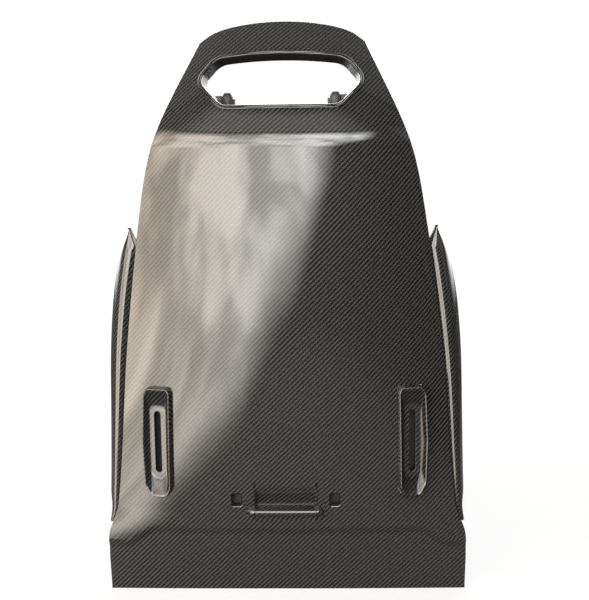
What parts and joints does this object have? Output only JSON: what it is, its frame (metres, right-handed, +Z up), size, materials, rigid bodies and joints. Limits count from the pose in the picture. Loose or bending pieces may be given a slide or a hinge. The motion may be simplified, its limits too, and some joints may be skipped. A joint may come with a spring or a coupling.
{
  "type": "racing seat rear shell",
  "caption": "Laminate rear shell for a bucket racing seat, with wrap-round side wings, a framed head opening, slotted bezels, a moulded pull and inner fixings.",
  "frame": {"origin": "middle of the footprint's box, on the floor under the bottom edge", "axes": "+X to the right seen from behind, +Y forward through the shell towards the seat, +Z up"},
  "size_m": [0.5576, 0.1692, 0.88],
  "materials": {
    "laminate": "clear-coated 2/2 twill carbon laminate",
    "black_plastic": "fine-grained moulded nylon",
    "zinc_steel": "zinc plated",
    "foam": "closed-cell foam"
  },
  "bodies": {
    "root": {"back_shell": "laminate", "left_wing": "laminate", "right_wing": "laminate", "head_rim": "laminate", "left_slot_bezel": "laminate", "right_slot_bezel": "laminate", "left_slot_liner": "black_plastic", "right_slot_liner": "black_plastic", "centre_pull": "laminate", "left_clip_box": "black_plastic", "right_clip_box": "black_plastic", "left_guide_foot": "black_plastic", "right_guide_foot": "black_plastic", "left_upright_guide": "black_plastic", "right_upright_guide": "black_plastic", "guide_screws": "zinc_steel", "lower_inserts": "zinc_steel", "upper_inserts": "zinc_steel", "low_left_tower": "black_plastic", "low_right_tower": "black_plastic", "high_left_tower": "black_plastic", "high_right_tower": "black_plastic", "low_left_clip": "zinc_steel", "low_right_clip": "zinc_steel", "high_left_clip": "zinc_steel", "high_right_clip": "zinc_steel", "left_frame_hook": "black_plastic", "right_frame_hook": "black_plastic", "left_foam_strip": "foam", "right_foam_strip": "foam"}
  },
  "joints": []
}
